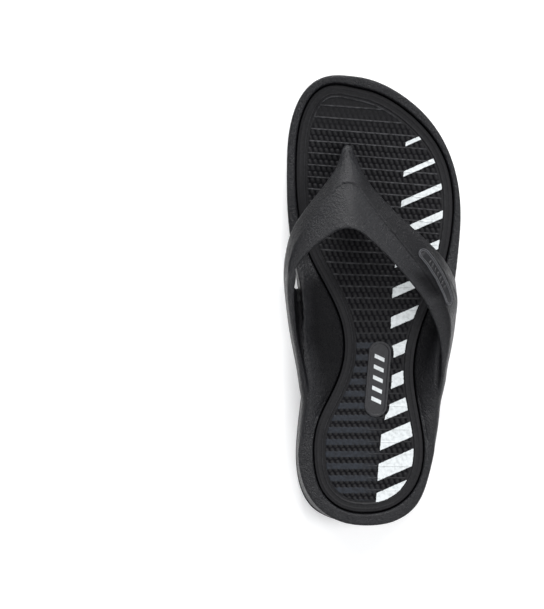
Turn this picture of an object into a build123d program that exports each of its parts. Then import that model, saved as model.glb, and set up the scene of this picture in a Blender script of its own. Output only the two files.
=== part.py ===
from build123d import *
from math import cos, radians, sin
import os

# A right-foot flip flop with a moulded thong strap, arch wings and a let-in footbed.
# Millimetres. +X points to the outer (little toe) side, +Y to the toe and +Z up.
# The origin is under the middle of the finished sandal, on the ground.

# Driving dimensions
SOLE_LENGTH = 280.0
OUTSOLE_THICKNESS = 5.0         # studs included
STUD_HEIGHT = 1.3
STUD_PITCH_X = 11.35
STUD_PITCH_Y = 9.1
STUD_RADIUS_SMALL = 2.6         # toe and waist
STUD_RADIUS_LARGE = 3.15        # ball and heel
STUD_EDGE_MARGIN = 4.5          # from a stud's centre to the edge of the sole
FOOTBED_THICKNESS = 4.0
GROOVE_WIDTH = 1.3              # open joint all round the footbed
GROOVE_DEPTH = 3.0
FILM_THICKNESS = 0.2
FILM_BORDER = 6.2               # smooth border of the footbed, free of film
STRIPE_COUNT = 13
STRIPE_PITCH = 18.2
STRIPE_TOP_Y = 98.7
STRIPE_SLOPE = 0.44
STRIPE_FIRST_WIDTH = 2.6
STRIPE_WIDTH_STEP = 0.733
STRIPE_BADGE_GAP = 1.6
STRAP_THICKNESS = 4.2
POST_X, POST_Y = -15.8, 92.0
POST_WIDTH, POST_LENGTH = 7.5, 9.0
POST_TOP = 35.0
POST_CLEARANCE = 0.3
PLUG_RADIUS = 9.0
PLUG_TOP = 12.0
BADGE_LENGTH, BADGE_WIDTH = 47.0, 14.0
BADGE_CENTRE = (3.2, -48.9)
BADGE_TURN = 85.3               # degrees from +X to the badge's long axis
BADGE_HEIGHT = 0.9
BADGE_RIM = 1.4
BADGE_RIM_HEIGHT = 0.5
BADGE_SEAT = 0.8                # depth that a badge is let in
MOTIF_BARS = 5
MOTIF_PITCH = 6.6
MOTIF_BAR_WIDTH = 2.6
MOTIF_BAR_HEIGHT = 6.4
MOTIF_LEAN = 2.4
STRAP_BADGE_WIDTH = 7.0
STRAP_BADGE_HEIGHT = 0.8
REACH = 90.0                    # half width of the cutting profiles
CEILING = 46.0                  # top of the sole blank before it is cut
OVERRUN = 20.0                  # how far a cutter runs past what it cuts

# Outline of the sole on the ground, anticlockwise from the toe.
GROUND_OUTLINE = [
    (-19, 138.5), (-40, 129.5), (-49.5, 112), (-52, 84), (-51.8, 56), (-49.3, 28),
    (-46.4, 8), (-43.6, -14), (-42.8, -36), (-44.4, -60), (-47.4, -88), (-46.4, -112),
    (-38, -130), (-23, -137.6), (-3, -140), (15, -137.2), (28, -128), (34.5, -112), (38.2, -92),
    (40, -66), (41, -42), (43.6, -20), (49, 8), (52.6, 34), (53.6, 60), (50.2, 84),
    (41.5, 102.5), (24, 122.5), (3, 134),
]
# Outline of the rim.
RIM_OUTLINE = [
    (-19, 140), (-41, 132), (-50.8, 112), (-53.8, 84), (-53.3, 56), (-49.8, 30),
    (-45.3, 10), (-43.2, -14), (-42.4, -36), (-43.6, -60), (-46.4, -88), (-44.6, -110),
    (-35.4, -127.4), (-21, -137), (-3, -139.8), (13.6, -137), (26.4, -128), (34, -111.7), (38.6, -92),
    (42.2, -66), (42, -42), (44, -20), (50.6, 8), (54.4, 34), (55.6, 56), (52.2, 80),
    (43.2, 102), (25.6, 122.4), (1, 136.6),
]
RIM_LEVEL = 26.0
# Middle of the groove between rim and footbed.
GROOVE_OUTLINE = [
    (-17, 133.8), (-35, 129.8), (-44.3, 113), (-47.4, 88), (-46.3, 58), (-39.6, 30),
    (-28, 7), (-19.4, -13), (-18, -37), (-25.5, -58), (-34.6, -78), (-36.4, -98),
    (-30.5, -119.6), (-18, -129.8), (-5.5, -132), (8, -130.2), (20.4, -122.8), (29.6, -107), (31.2, -88),
    (27.6, -65.5), (25.2, -43), (30, -17), (42, 13), (49, 42), (49.6, 70), (43.2, 92),
    (27, 113), (3, 128.8),
]
# Heights along the sandal, from heel (-Y) to toe (+Y).
PROFILE_REACH = 145.0           # half length of the lengthwise lines
FLAT_HEEL, FLAT_TOE = -88.0, 35.0
HEEL_LIFT, TOE_LIFT = 4.6, 10.5
FOOTBED_CURVE = [(-145, 29), (-115, 28.3), (-80, 27.7), (-40, 25.6), (0, 21.8), (40, 18.9), (75, 19.3),
                 (110, 22.4), (145, 28.5)]
RIM_CURVE = [(-145, 32), (-115, 31.4), (-80, 31), (-64, 31), (-45, 31.6), (-25, 33.6), (-10, 34), (2, 30.6),
             (12, 25.8), (24, 22.8), (45, 21.9), (75, 22.3), (110, 25.4), (145, 31.5)]

# The strap is drawn by stations across it. Each has four outer points: front edge, bulge of the
# front facet, crest and rear edge. From the seventh on they run down into the wing beside the sole.
CENTRE_STATION = [(-15.8, 96.5, 33), (-15.8, 88.5, 42), (-15.8, 72.2, 51.5), (-15.8, 43.5, 63.5)]
INNER_STATIONS = [
    [(-19.8, 91.5, 35.5), (-18.6, 86.5, 42.3), (-17.8, 71.9, 51.5), (-19.1, 42.9, 63.2)],
    [(-22, 84.7, 39.5), (-21.2, 80.5, 44.2), (-21.9, 69.8, 51.4), (-24, 41, 62.3)],
    [(-27.3, 75.9, 43), (-26.6, 72, 46.3), (-27.5, 64, 51.6), (-30, 36.9, 60.5)],
    [(-35.4, 65.3, 45), (-34.5, 61.5, 47.8), (-34.2, 54.1, 52), (-36.4, 32.1, 58.2)],
    [(-44, 54.2, 44.5), (-42.6, 51, 47.6), (-41.6, 44.3, 51.5), (-41.8, 26.1, 55.6)],
    [(-50.7, 43.3, 41), (-49.3, 40.3, 44.8), (-48.2, 34.5, 49.4), (-45.7, 20, 53.2)],
    [(-54.3, 30.5, 35), (-53.8, 28, 40.5), (-51.8, 23.5, 47.2), (-47.6, 13.2, 51)],
    [(-55.2, 19, 26.5), (-55.5, 17, 34.5), (-53, 12.5, 45.6), (-48.6, 6, 49.2)],
    [(-52.8, 9.5, 18), (-55, 6, 30), (-53.2, 2.5, 44.3), (-48.8, -2, 47.6)],
    [(-49, 3, 14), (-53.8, -5.5, 29), (-52, -8.5, 42.4), (-48.2, -10.4, 45.6)],
    [(-46.6, -12, 14), (-52.2, -18, 28.5), (-50.4, -19, 39.9), (-47.4, -20.5, 42.8)],
    [(-45.2, -28, 14), (-49.8, -31, 28), (-48, -32, 37), (-45.4, -32.5, 39.6)],
    [(-44.8, -42, 14), (-47.4, -43.5, 28), (-45.8, -44, 34.6), (-43, -44, 36.6)],
    [(-44.8, -57, 15), (-45.4, -57, 28), (-44, -57, 32.4), (-40.2, -57, 33.8)],
    [(-43, -74, 17), (-42.6, -74, 27), (-42, -74, 29.4), (-39.8, -74, 29.8)],
]
OUTER_STATIONS = [
    [(-11.9, 91.5, 35.5), (-13, 86.5, 42.3), (-12.6, 71.4, 51.4), (-12.3, 42.6, 63.2)],
    [(-8.7, 84.1, 39.5), (-9.6, 80, 44), (-9, 68.2, 51.2), (-7.8, 40.4, 62.2)],
    [(-3.3, 74.1, 42), (-4, 70.5, 45.6), (-4.5, 62.9, 50.9), (-2.3, 35.9, 60.8)],
    [(5.9, 63, 44), (4.6, 60, 46.8), (2.2, 54, 50.9), (4.4, 29.9, 59)],
    [(17, 51.8, 44.8), (15, 49.2, 47.4), (10.2, 43.8, 51), (11.8, 22.4, 56.6)],
    [(28.1, 42, 43.6), (25.6, 39.4, 46.4), (18.8, 33.5, 50.4), (19.3, 13.9, 53.8)],
    [(38.1, 32.8, 40.2), (35.4, 29.5, 43.8), (27.5, 22.6, 48.6), (26.2, 5.6, 50.6)],
    [(46.4, 23, 34.5), (43.5, 19.2, 40), (35.6, 11.2, 46.2), (31.9, -2.2, 47.8)],
    [(51.2, 13, 26.5), (49.8, 9, 35.5), (42.6, -0.3, 43.8), (36, -10.4, 45.4)],
    [(52.2, 5.5, 18.5), (52.6, 0.5, 31), (46.6, -8, 42), (38.8, -17.2, 43.4)],
    [(49.5, -2, 14), (52, -9, 29), (48, -16, 40), (40.6, -24, 41.6)],
    [(46.4, -14, 14), (50.8, -19.5, 28.5), (47.8, -24.5, 38), (41.8, -31, 39.6)],
    [(44.4, -27, 14), (48.8, -31, 28), (46.4, -34, 35.8), (42.3, -39, 37.2)],
    [(43.2, -41, 14), (46.4, -43, 28), (44.6, -45, 33.6), (42.2, -47.5, 35)],
    [(42.8, -56, 15), (44.2, -57, 28), (42.8, -57, 31.8), (40.2, -57.5, 33)],
    [(39, -74, 17), (39.4, -74, 27), (38.8, -74, 29.4), (36.6, -74, 29.8)],
]
# The wall at each station: its thickness at the front facet, and the directions in which the front
# and the rear edge are thick, in degrees from straight down. It ends as the wing's root.
CENTRE_WALL = (6, 38, -20)
INNER_WALLS = [
    (5.6, 38, -20), (5, 36, -20), (4.2, 33, -18), (4.2, 33, -16), (4.2, 36, -16), (4.4, 44, -16),
    (4.6, 58, -12), (4.6, 72, -6), (4.4, 84, 0), (6.6, 90, 0), (8, 90, 5), (7, 90, 10), (5.5, 90, 15),
    (4.5, 90, 20), (4, 90, 20),
]
OUTER_WALLS = [
    (5.6, 38, -20), (5, 36, -20), (4.2, 33, -18), (4.2, 33, -16), (4.2, 34, -16), (4.2, 38, -16),
    (4.4, 44, -14), (4.8, 54, -12), (5.4, 68, -6), (6.5, 84, 0), (7.5, 90, 0), (7.5, 90, 5),
    (6.5, 90, 10), (5.5, 90, 15), (4.5, 90, 20), (4, 90, 20),
]
WING_TURN = 60.0                # beyond this the wall is a wing and is thick sideways

# Hollows between footbed and wings: for each Y, points from the footbed outwards and up.
INNER_SCOOP = [
    (30, [(-37, 19.8), (-42, 20.2), (-45.5, 21.4), (-50, 24)]),
    (18, [(-31, 20.6), (-38, 21.4), (-43, 23.4), (-50, 29)]),
    (4, [(-24, 21.8), (-34, 23.4), (-42.5, 28.5), (-50, 41)]),
    (-10, [(-18, 23), (-31, 25), (-42, 31.5), (-49, 46)]),
    (-25, [(-15.6, 24.4), (-29, 26.4), (-40, 31.8), (-47.5, 44)]),
    (-40, [(-16.7, 25.8), (-29, 27.6), (-38.5, 31.6), (-44.5, 39)]),
    (-55, [(-21.3, 26.8), (-30, 28), (-36, 30.2), (-41, 34.5)]),
    (-72, [(-30, 27.8), (-34, 28.4), (-36.5, 29.6), (-39.5, 32.5)]),
]
OUTER_SCOOP = [
    (18, [(41, 20.6), (46, 21.4), (49, 23), (53, 27)]),
    (4, [(36, 21.8), (42, 23), (46.5, 27), (51, 36)]),
    (-10, [(30.5, 23), (37, 24.6), (42.5, 29.5), (47, 40)]),
    (-25, [(25.2, 24.4), (32, 26), (38.5, 31), (43, 40)]),
    (-40, [(23, 25.8), (30.5, 27.2), (37.5, 31.2), (42.8, 38)]),
    (-55, [(23.5, 26.8), (31, 28), (37, 30.6), (42, 35)]),
    (-72, [(27, 27.8), (32, 28.4), (35.8, 29.6), (39.5, 32.5)]),
]


def smooth_face(points, inset=0.0):
    """A flat face inside one smooth closed curve, drawn inside the given points by the inset."""
    moved = []
    for number, (x, y) in enumerate(points):
        before, after = points[number - 1], points[(number + 1) % len(points)]
        along = Vector(after[0] - before[0], after[1] - before[1], 0).normalized()
        moved.append((x - along.Y * inset, y + along.X * inset))
    return make_face(Spline(moved, periodic=True))


def ground_line(height=0.0):
    """The lengthwise line of the ground side: heel lift, flat, toe spring."""
    heel = TangentArc((FLAT_HEEL, height), (-PROFILE_REACH, height + HEEL_LIFT), tangent=(-1, 0))
    flat = Line((FLAT_HEEL, height), (FLAT_TOE, height))
    toe = TangentArc((FLAT_TOE, height), (PROFILE_REACH, height + TOE_LIFT), tangent=(1, 0))
    return heel + flat + toe


def footbed_line(height=0.0):
    return Spline([(y, z + height) for y, z in FOOTBED_CURVE])


def ceiling_line(height=0.0):
    return Line((-PROFILE_REACH, CEILING + height), (PROFILE_REACH, CEILING + height))


def lengthwise_block(lower, upper):
    """Everything between two lengthwise lines, right across the sandal."""
    low_ends = lower.vertices().sort_by(Axis.X)
    high_ends = upper.vertices().sort_by(Axis.X)
    sides = Line(low_ends[0], high_ends[0]) + Line(low_ends[-1], high_ends[-1])
    return extrude(Plane.YZ * make_face(lower + upper + sides), REACH, both=True)


def sole_blank():
    """The sole's side walls, from the ground to above the highest rim."""
    ground = smooth_face(GROUND_OUTLINE)
    rim = smooth_face(RIM_OUTLINE)
    lower = loft([ground, Pos(0, 0, RIM_LEVEL) * rim])
    return lower + extrude(Pos(0, 0, RIM_LEVEL) * rim, CEILING - RIM_LEVEL)


def into_wall(points, side, front_turn, rear_turn):
    """Unit vectors from the four outer points of a station into the wall.

    The turns are degrees away from straight down, towards the foot.
    """
    front, rear = Vector(*points[0]), Vector(*points[3])
    level_way = Vector(rear.X - front.X, rear.Y - front.Y, 0).normalized()
    if front_turn > WING_TURN:
        level_way = Vector(-side, 0, 0)
    turns = [front_turn, front_turn, (front_turn + rear_turn) / 2, rear_turn]
    return [level_way * sin(radians(turn)) - Vector(0, 0, cos(radians(turn))) for turn in turns]


def arm(stations, walls, side, proud=0.0, sunk=None):
    """One arm of the strap with its wing. side is the sign of X that the arm runs to.

    With sunk given, the result is a thin skin that stands proud of the arm and reaches sunk deep.
    """
    corners = []
    for points, (wall, front_turn, rear_turn) in zip(stations, walls):
        depths = [0.8 * wall, wall, STRAP_THICKNESS, 0.85 * STRAP_THICKNESS]
        if sunk is not None:
            depths = [sunk] * 4
        skin, lining = [], []
        for point, way, depth in zip(points, into_wall(points, side, front_turn, rear_turn), depths):
            skin.append(Vector(*point) - way * proud)
            lining.append(Vector(*point) + way * depth)
        corners.append(skin + lining[::-1])
    return Solid.make_loft([Wire.make_polygon(ring, close=True) for ring in corners])


def inner_arm():
    return arm([CENTRE_STATION] + INNER_STATIONS, [CENTRE_WALL] + INNER_WALLS, -1)


def outer_arm(proud=0.0, sunk=None):
    return arm([CENTRE_STATION] + OUTER_STATIONS, [CENTRE_WALL] + OUTER_WALLS, 1, proud, sunk)


def above_outsole(blank):
    return blank & lengthwise_block(ground_line(OUTSOLE_THICKNESS), ceiling_line())


def toe_post(widening=0.0):
    """The post between the toes, an oval bar from the plug up to the nose of the strap."""
    oval = Ellipse(POST_WIDTH / 2 + widening, POST_LENGTH / 2 + widening)
    return extrude(Pos(POST_X, POST_Y, 0) * oval, POST_TOP)


def toe_plug(widening=0.0):
    """The plug moulded on the post's foot, hidden between midsole and outsole."""
    return extrude(Pos(POST_X, POST_Y, 0) * Circle(PLUG_RADIUS + widening), PLUG_TOP + widening)


def strap(blank):
    """The thong strap in one piece: two arms with wings, the post and its plug."""
    rooted = (toe_post() + toe_plug()) & above_outsole(blank)
    return inner_arm() + outer_arm() + rooted


def footbed_outline(inset):
    return smooth_face(GROOVE_OUTLINE, inset)


def footbed():
    """The let-in insole, with a hole for the post and a seat for its badge."""
    plate = extrude(footbed_outline(GROOVE_WIDTH / 2), CEILING)
    plate = plate & lengthwise_block(footbed_line(-FOOTBED_THICKNESS), footbed_line())
    return plate - toe_post(POST_CLEARANCE) - footbed_badge(seat=True)


def scoop(sections):
    """Cutter for the hollow between the footbed and a wing, drawn by cross sections."""
    faces = []
    for y, points in sections:
        hollow = [(x, z) for x, z in points]
        top = [(hollow[-1][0], CEILING + OVERRUN), (hollow[0][0], CEILING + OVERRUN)]
        outline = Spline(hollow) + Polyline([hollow[-1]] + top + [hollow[0]])
        plane = Plane(origin=(0, y, 0), x_dir=(1, 0, 0), z_dir=(0, -1, 0))
        faces.append(plane * make_face(outline))
    return loft(faces)


def midsole(blank, upper):
    """The foam body: pocket for the footbed, rim, hollows and the strap's seats."""
    body = blank & lengthwise_block(ground_line(OUTSOLE_THICKNESS), Spline(RIM_CURVE))
    pocket = extrude(footbed_outline(-GROOVE_WIDTH / 2), CEILING)
    deep = lengthwise_block(footbed_line(-FOOTBED_THICKNESS), ceiling_line(OVERRUN))
    body = body - (pocket & deep)
    body = body - scoop(INNER_SCOOP) - scoop(OUTER_SCOOP)
    body = body - toe_post(POST_CLEARANCE) - toe_plug(POST_CLEARANCE)
    return largest(body - upper)


def stud_places():
    """Centres and radii of the studs under the sole, kept clear of its edge."""
    field = smooth_face(GROUND_OUTLINE, STUD_EDGE_MARGIN)
    columns = range(-4, 5)
    rows = range(-15, 16)
    places = []
    for row in rows:
        y = row * STUD_PITCH_Y
        large = -135 < y < -75 or 5 < y < 85
        radius = STUD_RADIUS_LARGE if large else STUD_RADIUS_SMALL
        for column in columns:
            x = column * STUD_PITCH_X
            if field.is_inside((x, y, 0)):
                places.append((x, y, radius))
    return places


def outsole(blank):
    """The tread sheet with its studs."""
    sheet = blank & lengthwise_block(ground_line(STUD_HEIGHT), ground_line(OUTSOLE_THICKNESS))
    slab = lengthwise_block(ground_line(), ground_line(STUD_HEIGHT))
    rods = [Pos(x, y, -1) * Cylinder(radius, 16, align=(Align.CENTER, Align.CENTER, Align.MIN))
            for x, y, radius in stud_places()]
    studs = slab & Compound(children=rods)
    return sheet + studs.solids()


def stripe_left(y):
    """The curve on which the left ends of the stripes stand."""
    ends = [(-130, 1.6), (-101, 3.7), (-83, 5.3), (-63, 9.9), (-45, 11.5), (-28, 11.2), (-10, 11.5),
            (8, 12.7), (62, 18.3), (99, 20.8)]
    for (y0, x0), (y1, x1) in zip(ends, ends[1:]):
        if y <= y1:
            return x0 + (x1 - x0) * (y - y0) / (y1 - y0)
    return ends[-1][1]


def film_stripe(number):
    """One of the slanted stripes of film bonded on the footbed, wider towards the heel."""
    top = STRIPE_TOP_Y - STRIPE_PITCH * number
    width = STRIPE_FIRST_WIDTH + STRIPE_WIDTH_STEP * number
    left, low_left = stripe_left(top), stripe_left(top - width)
    run = 45.0
    band = make_face(Polyline([(left, top), (left + run, top + STRIPE_SLOPE * run),
                               (left + run, top - width + STRIPE_SLOPE * run),
                               (low_left, top - width), (left, top)]))
    band = band & footbed_outline(FILM_BORDER)
    band = band - badge_outline(STRIPE_BADGE_GAP)
    film = extrude(band, CEILING)
    return film & lengthwise_block(footbed_line(), footbed_line(FILM_THICKNESS))


def badge_outline(growth=0.0):
    pill = SlotOverall(BADGE_LENGTH + 2 * growth, BADGE_WIDTH + 2 * growth)
    return Pos(*BADGE_CENTRE) * Rot(0, 0, BADGE_TURN) * pill


def between(face, low, high):
    """A plate over a flat outline, between two heights measured from the footbed's surface."""
    slab = lengthwise_block(footbed_line(low), footbed_line(high))
    return extrude(face, CEILING) & slab


def footbed_badge(seat=False):
    """The raised oblong badge on the footbed, or the seat that it needs."""
    if seat:
        return between(badge_outline(), -BADGE_SEAT, BADGE_HEIGHT)
    plate = between(badge_outline(), -BADGE_SEAT, BADGE_HEIGHT)
    ring = badge_outline() - badge_outline(-BADGE_RIM)
    return plate + between(ring, 0, BADGE_HEIGHT + BADGE_RIM_HEIGHT)


def badge_motif():
    """A row of plain leaning bars on the badge."""
    bars = Sketch()
    half, lean = MOTIF_BAR_HEIGHT / 2, MOTIF_LEAN / 2
    for number in range(MOTIF_BARS):
        x = (number - (MOTIF_BARS - 1) / 2) * MOTIF_PITCH
        w = MOTIF_BAR_WIDTH / 2
        corners = [(x - w - lean, -half), (x + w - lean, -half), (x + w + lean, half), (x - w + lean, half)]
        bars += make_face(Polyline(corners + corners[:1]))
    placed = Pos(*BADGE_CENTRE) * Rot(0, 0, BADGE_TURN) * bars
    return between(placed, BADGE_HEIGHT, BADGE_HEIGHT + FILM_THICKNESS)


def strap_badge():
    """The raised oblong badge on the outer arm, which follows the arm's curve."""
    middle = Spline([(31.4, 29), (36.5, 22.9), (42, 14.4), (45.9, 5.1), (47.6, -0.4)])
    pill = trace(middle, STRAP_BADGE_WIDTH)
    return largest(outer_arm(STRAP_BADGE_HEIGHT, BADGE_SEAT) & extrude(pill, CEILING + OVERRUN))


def largest(shape):
    return shape.solids().sort_by(SortBy.VOLUME)[-1]


def build():
    blank = sole_blank()
    badge = strap_badge()
    upper = strap(blank)
    nodes = {
        "outsole": outsole(blank),
        "midsole": midsole(blank, upper),
        "footbed": footbed(),
        "strap": upper - badge,
        "strap_badge": badge,
        "footbed_badge": footbed_badge(),
        "badge_motif": badge_motif(),
    }
    for number in range(STRIPE_COUNT):
        nodes[f"film_stripe_{number + 1:02d}"] = film_stripe(number)
    boxes = [node.bounding_box() for node in nodes.values()]
    middle_x = (min(box.min.X for box in boxes) + max(box.max.X for box in boxes)) / 2
    middle_y = (min(box.min.Y for box in boxes) + max(box.max.Y for box in boxes)) / 2
    to_origin = Pos(-middle_x, -middle_y, 0)
    return {name: to_origin * node for name, node in nodes.items()}


def main():
    os.makedirs("parts", exist_ok=True)
    for name, shape in build().items():
        print(name, len(shape.solids()), round(shape.volume, 1), shape.is_valid)
        export_step(shape, f"parts/{name}.step")


main()
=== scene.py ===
import math

import bpy
import mathutils
import numpy as np
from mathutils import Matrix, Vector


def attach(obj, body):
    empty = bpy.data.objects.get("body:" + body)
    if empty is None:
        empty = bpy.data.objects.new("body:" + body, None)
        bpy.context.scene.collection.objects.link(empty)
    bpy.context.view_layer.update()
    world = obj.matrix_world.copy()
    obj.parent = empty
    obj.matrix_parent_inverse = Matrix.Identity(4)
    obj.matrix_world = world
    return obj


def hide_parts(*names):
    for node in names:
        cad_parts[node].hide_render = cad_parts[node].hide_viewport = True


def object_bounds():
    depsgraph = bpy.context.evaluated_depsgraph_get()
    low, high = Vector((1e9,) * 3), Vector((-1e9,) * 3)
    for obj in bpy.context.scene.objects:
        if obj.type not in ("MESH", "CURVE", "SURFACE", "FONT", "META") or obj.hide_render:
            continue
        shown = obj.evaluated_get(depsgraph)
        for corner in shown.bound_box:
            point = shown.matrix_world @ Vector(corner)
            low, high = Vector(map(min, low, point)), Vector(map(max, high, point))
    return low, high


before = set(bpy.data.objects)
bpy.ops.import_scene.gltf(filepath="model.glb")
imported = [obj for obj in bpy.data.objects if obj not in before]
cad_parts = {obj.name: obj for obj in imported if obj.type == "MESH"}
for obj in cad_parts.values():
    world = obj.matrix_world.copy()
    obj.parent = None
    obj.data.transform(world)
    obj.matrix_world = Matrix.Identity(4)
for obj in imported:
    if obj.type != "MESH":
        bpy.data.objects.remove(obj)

import openvdb
from mathutils import Vector
from mathutils.bvhtree import BVHTree
from mathutils.kdtree import KDTree

# Lengths are in millimetres, unless a comment says otherwise. Blender's own unit is the metre.
CAD_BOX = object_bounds()
MM = 0.001
TINY = 1e-9  # keeps a division finite
ROOT = "root"

# ---- small helpers


def node_mesh(name):
    """Vertices in millimetres and triangles of a CAD node."""
    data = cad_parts[name].data
    data.calc_loop_triangles()
    points = np.empty(len(data.vertices) * 3, np.float64)
    data.vertices.foreach_get("co", points)
    triangles = np.empty(len(data.loop_triangles) * 3, np.int32)
    data.loop_triangles.foreach_get("vertices", triangles)
    return points.reshape(-1, 3) / MM, triangles.reshape(-1, 3)


def weld(points, triangles, grain=0.002):
    """Merges vertices that stand in one place, so that neighbouring faces share them."""
    keys = np.round(points / grain).astype(np.int64)
    _, first, same = np.unique(keys, axis=0, return_index=True, return_inverse=True)
    joined = same.reshape(-1)[triangles]
    a, b, c = joined.T
    return points[first], joined[(a != b) & (b != c) & (a != c)]


def make_object(name, points, faces, smooth=True, sharp_angle=None):
    """A mesh object from points in millimetres."""
    data = bpy.data.meshes.new(name)
    if isinstance(faces, np.ndarray):
        faces = faces.tolist()
    data.from_pydata((np.asarray(points) * MM).tolist(), [], faces)
    data.validate()
    if smooth:
        data.shade_smooth()
        if sharp_angle is not None:
            data.set_sharp_from_angle(angle=math.radians(sharp_angle))
    piece = bpy.data.objects.new(name, data)
    bpy.context.scene.collection.objects.link(piece)
    return piece


def mark(piece, name, values):
    """Stores one number per vertex for the material to read."""
    attribute = piece.data.attributes.new(name, "FLOAT", "POINT")
    attribute.data.foreach_set("value", np.asarray(values, np.float32))


def settle(piece, slot, *nodes):
    """Rides the piece on the one body, in place of its CAD nodes."""
    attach(piece, ROOT)
    if nodes:
        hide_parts(*nodes)
    return piece


def smoothstep(low, high, value):
    """0 at low, 1 at high and smooth between them; low may be the larger."""
    t = np.clip((value - low) / (high - low), 0.0, 1.0)
    return t * t * (3.0 - 2.0 * t)


# ---- distance fields

VOXEL = 0.6
BAND = 9.0  # distance kept on both sides of a surface
PAD = 12.0  # room round the solid, more than the band
SLOPE_REACH = 0.75  # of a voxel, to both sides


class Field:
    """A dense box of signed distances in millimetres, negative inside."""

    def __init__(self, low, high, voxel):
        self.low = np.array(low) - PAD
        self.voxel = voxel
        self.shape = tuple(int(n) for n in np.ceil((np.array(high) + PAD - self.low) / voxel))

    def read(self, grid):
        """The distances of a grid whose own unit is the voxel."""
        values = np.empty(self.shape, np.float32)
        grid.copyToArray(values)
        return values * self.voxel

    def from_mesh(self, points, triangles):
        """Distances from a closed mesh."""
        local = ((points - self.low) / self.voxel).astype(np.float32)
        grid = openvdb.FloatGrid.createLevelSetFromPolygons(
            local, triangles=triangles.astype(np.uint32), transform=openvdb.createLinearTransform(1.0),
            halfWidth=BAND / self.voxel)
        return self.read(grid)

    def surface(self, values, level=0.0):
        """Points and four-cornered faces of the surface at a level."""
        grid = openvdb.FloatGrid(float(BAND / self.voxel))
        grid.transform = openvdb.createLinearTransform(1.0)
        grid.copyFromArray((values / self.voxel).astype(np.float32), tolerance=0.0)
        points, _, quads = grid.convertToPolygons(isovalue=level / self.voxel, adaptivity=0.0)
        return points * self.voxel + self.low, quads

    def redistance(self, values, level):
        """True distances from the surface at a level."""
        points, quads = self.surface(values, level)
        halves = np.concatenate([quads[:, [0, 1, 2]], quads[:, [0, 2, 3]]])
        return self.from_mesh(points, halves[:, ::-1])

    def sample(self, values, points):
        """Values at points, mixed from the eight grid values around each."""
        place = (points - self.low) / self.voxel
        base = np.clip(np.floor(place).astype(int), 0, np.array(self.shape) - 2)
        part = place - base
        result = np.zeros(len(points))
        for corner in range(8):
            step = np.array([(corner >> axis) & 1 for axis in range(3)])
            weight = np.prod(np.where(step, part, 1.0 - part), axis=1)
            i, j, k = (base + step).T
            result += weight * values[i, j, k]
        return result

    def slope(self, values, points):
        """Gradient of the values at points."""
        half = SLOPE_REACH * self.voxel
        parts = []
        for step in half * np.eye(3):
            parts.append(self.sample(values, points + step) - self.sample(values, points - step))
        return np.stack(parts, axis=1) / (2 * half)


BLUR_REACH = 2.5  # of the radius


def blur(values, radius, voxel):
    """Gaussian blur, one axis after the other."""
    reach = int(math.ceil(BLUR_REACH * radius / voxel))
    offsets = np.arange(-reach, reach + 1)
    weights = np.exp(-0.5 * (offsets * voxel / radius) ** 2)
    weights /= weights.sum()
    for axis in range(3):
        total = np.zeros_like(values)
        for offset, weight in zip(offsets, weights):
            total += np.float32(weight) * np.roll(values, int(offset), axis=axis)
        values = total
    return values


def islands(count, faces):
    """Labels vertices so that those joined by faces share a number."""
    label = np.arange(count)
    while True:
        lowest = label[faces].min(axis=1)
        joined = label.copy()
        np.minimum.at(joined, faces.reshape(-1), np.repeat(lowest, faces.shape[1]))
        joined = joined[joined]
        if np.array_equal(joined, label):
            return label
        label = joined


def largest_island(points, faces):
    """Drops all but the largest connected surface."""
    label = islands(len(points), faces)
    names, sizes = np.unique(label[faces[:, 0]], return_counts=True)
    kept = faces[label[faces[:, 0]] == names[np.argmax(sizes)]]
    used, renumbered = np.unique(kept, return_inverse=True)
    return points[used], renumbered.reshape(kept.shape)


def outward(points, faces):
    """Turns the faces so that their normals point out of the solid."""
    a, b, c = (points[faces[:, corner]] for corner in range(3))
    volume = np.einsum("ij,ij->i", a, np.cross(b, c)).sum()
    return faces if volume > 0 else faces[:, ::-1]


def voxel_surface(field, values):
    points, quads = field.surface(values)
    return largest_island(points, outward(points, quads))


# ---- strap and foam sole

CREVICE = 1.3  # radius that fills the corner between strap and sole
EDGE_ROUND = 0.5  # radius of the moulded edges
SKIN_BLUR = 0.38
PARTING_BLUR = 0.9
SEAM_SNAP = 0.45  # of a voxel
SNAP_ROUNDS = 4
SNAP_LONGEST = 0.5  # of a voxel, in each round
SNAP_SPREAD = 0.05  # keeps the step finite where the two surfaces are almost parallel

# The wings run out into the rim beside the heel.
ROOT_RANGE = (-96.0, -50.0)  # Y of both ends
ROOT_FLOOR = (18.0, 23.0)  # no softening below this height
ROOT_BLUR = 2.6
ROOT_ROWS = 1.0
ROOT_FULL = 0.45  # of the half length, softened in full
ROOT_BESIDE = (1.2, 3.2)  # keeps clear of the footbed's seat

# The hollows lie between the wings and the footbed.
HOLLOW_RANGE = (-76.0, 22.0)  # Y of both ends
HOLLOW_FADE = (14.0, 10.0)  # length over which they fade at each end
HOLLOW_SPARE = 10.0  # the wing's crest is looked up this far past both ends
HOLLOW_DROP = (0.5, 5.0)  # depth under the wing's crest
HOLLOW_TURN = (-0.35, 0.15)  # how far the surface faces the footbed or up
HOLLOW_RISE = 0.6  # weight of facing up in that
HOLLOW_UNDERSIDE = -0.1
FACET_SHADE = 0.6  # of the hollows' painted shade, also painted on the strap's front facets


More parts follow.
